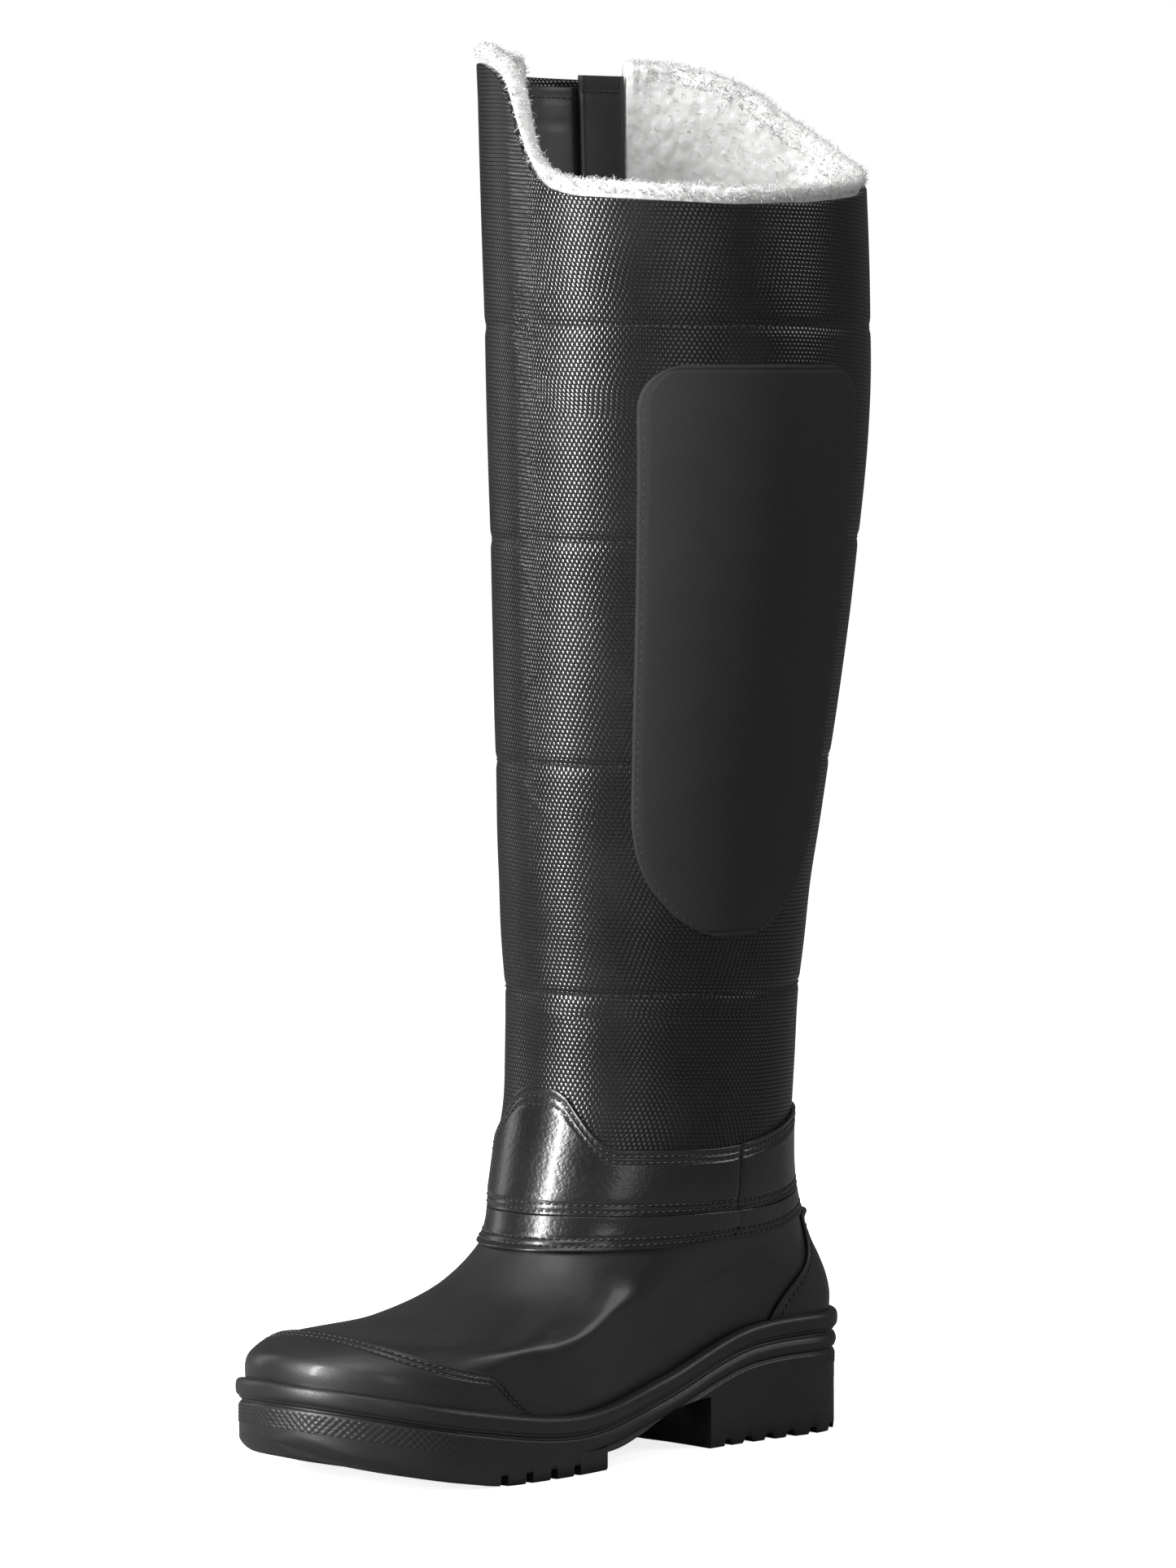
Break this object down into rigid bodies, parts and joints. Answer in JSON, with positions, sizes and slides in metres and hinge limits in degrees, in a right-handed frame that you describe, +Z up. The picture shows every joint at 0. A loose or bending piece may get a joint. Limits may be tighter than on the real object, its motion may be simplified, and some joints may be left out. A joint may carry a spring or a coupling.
{
  "type": "winter riding boot",
  "caption": "tall black fleece-lined winter riding boot for the right foot, with a full-length side zip, leather foot and moulded rubber sole",
  "frame": {"origin": "on the ground under the shaft, below the front of the heel", "axes": "+Z up along the leg, -Y to the toe, +X to the inner (medial) side"},
  "size_m": [0.1426, 0.2778, 0.5072],
  "materials": {
    "coated_fabric": "textured coated weave",
    "fleece": "curly pile",
    "grip_fabric": "smooth matte grip",
    "leather": "fine grain, polished",
    "leather_lining": "smooth",
    "rubber": "moulded, satin",
    "webbing": "woven tape",
    "zip_plastic": "coil",
    "zip_metal": "dark enamel",
    "fibreboard": "pressed fibre",
    "felt": "needled felt",
    "steel": "rolled"
  },
  "bodies": {
    "boot": {"shaft_shell": "coated_fabric", "shaft_lining": "fleece", "foot_lining": "fleece", "grip_patch": "grip_fabric", "collar_front": "leather", "collar_rear": "leather", "ankle_band": "leather", "vamp": "leather", "toe_cap": "leather", "heel_counter": "leather", "back_strip": "leather", "spur_rest": "rubber", "toe_puff": "fibreboard", "heel_stiffener": "fibreboard", "zip_tape_front": "webbing", "zip_tape_rear": "webbing", "zip_teeth_front": "zip_plastic", "zip_teeth_rear": "zip_plastic", "zip_top_stops": "zip_metal", "zip_bottom_stop": "zip_metal", "zip_facing_front": "leather", "zip_facing_rear": "leather", "zip_guard": "leather_lining", "inner_facing": "leather_lining", "snap_stud": "zip_metal", "rand": "rubber", "midsole": "rubber", "outsole": "rubber", "heel_block": "rubber", "insole_board": "fibreboard", "shank": "steel", "footbed": "felt"},
    "slider": {"zip_slider": "zip_metal"},
    "pull": {"zip_pull": "zip_metal"},
    "tab": {"snap_tab": "leather", "snap_cap": "zip_metal"}
  },
  "joints": [
    {"name": "zip_slide", "type": "slide", "parent": "boot", "child": "slider", "axis": [-0.053, 0.0419, 0.9977], "range_m": [-0.332, 0]},
    {"name": "pull_swing", "type": "hinge", "parent": "slider", "child": "pull", "pos_m": [-0.0648, 0.03123, 0.44409], "axis": [0.2522, 0.9673, -0.0272], "range_deg": [0, 150]},
    {"name": "tab_swing", "type": "hinge", "parent": "boot", "child": "tab", "pos_m": [-0.0617, 0.04856, 0.47904], "axis": [0.0232, -0.0432, -0.9988], "range_deg": [0, 150]}
  ]
}
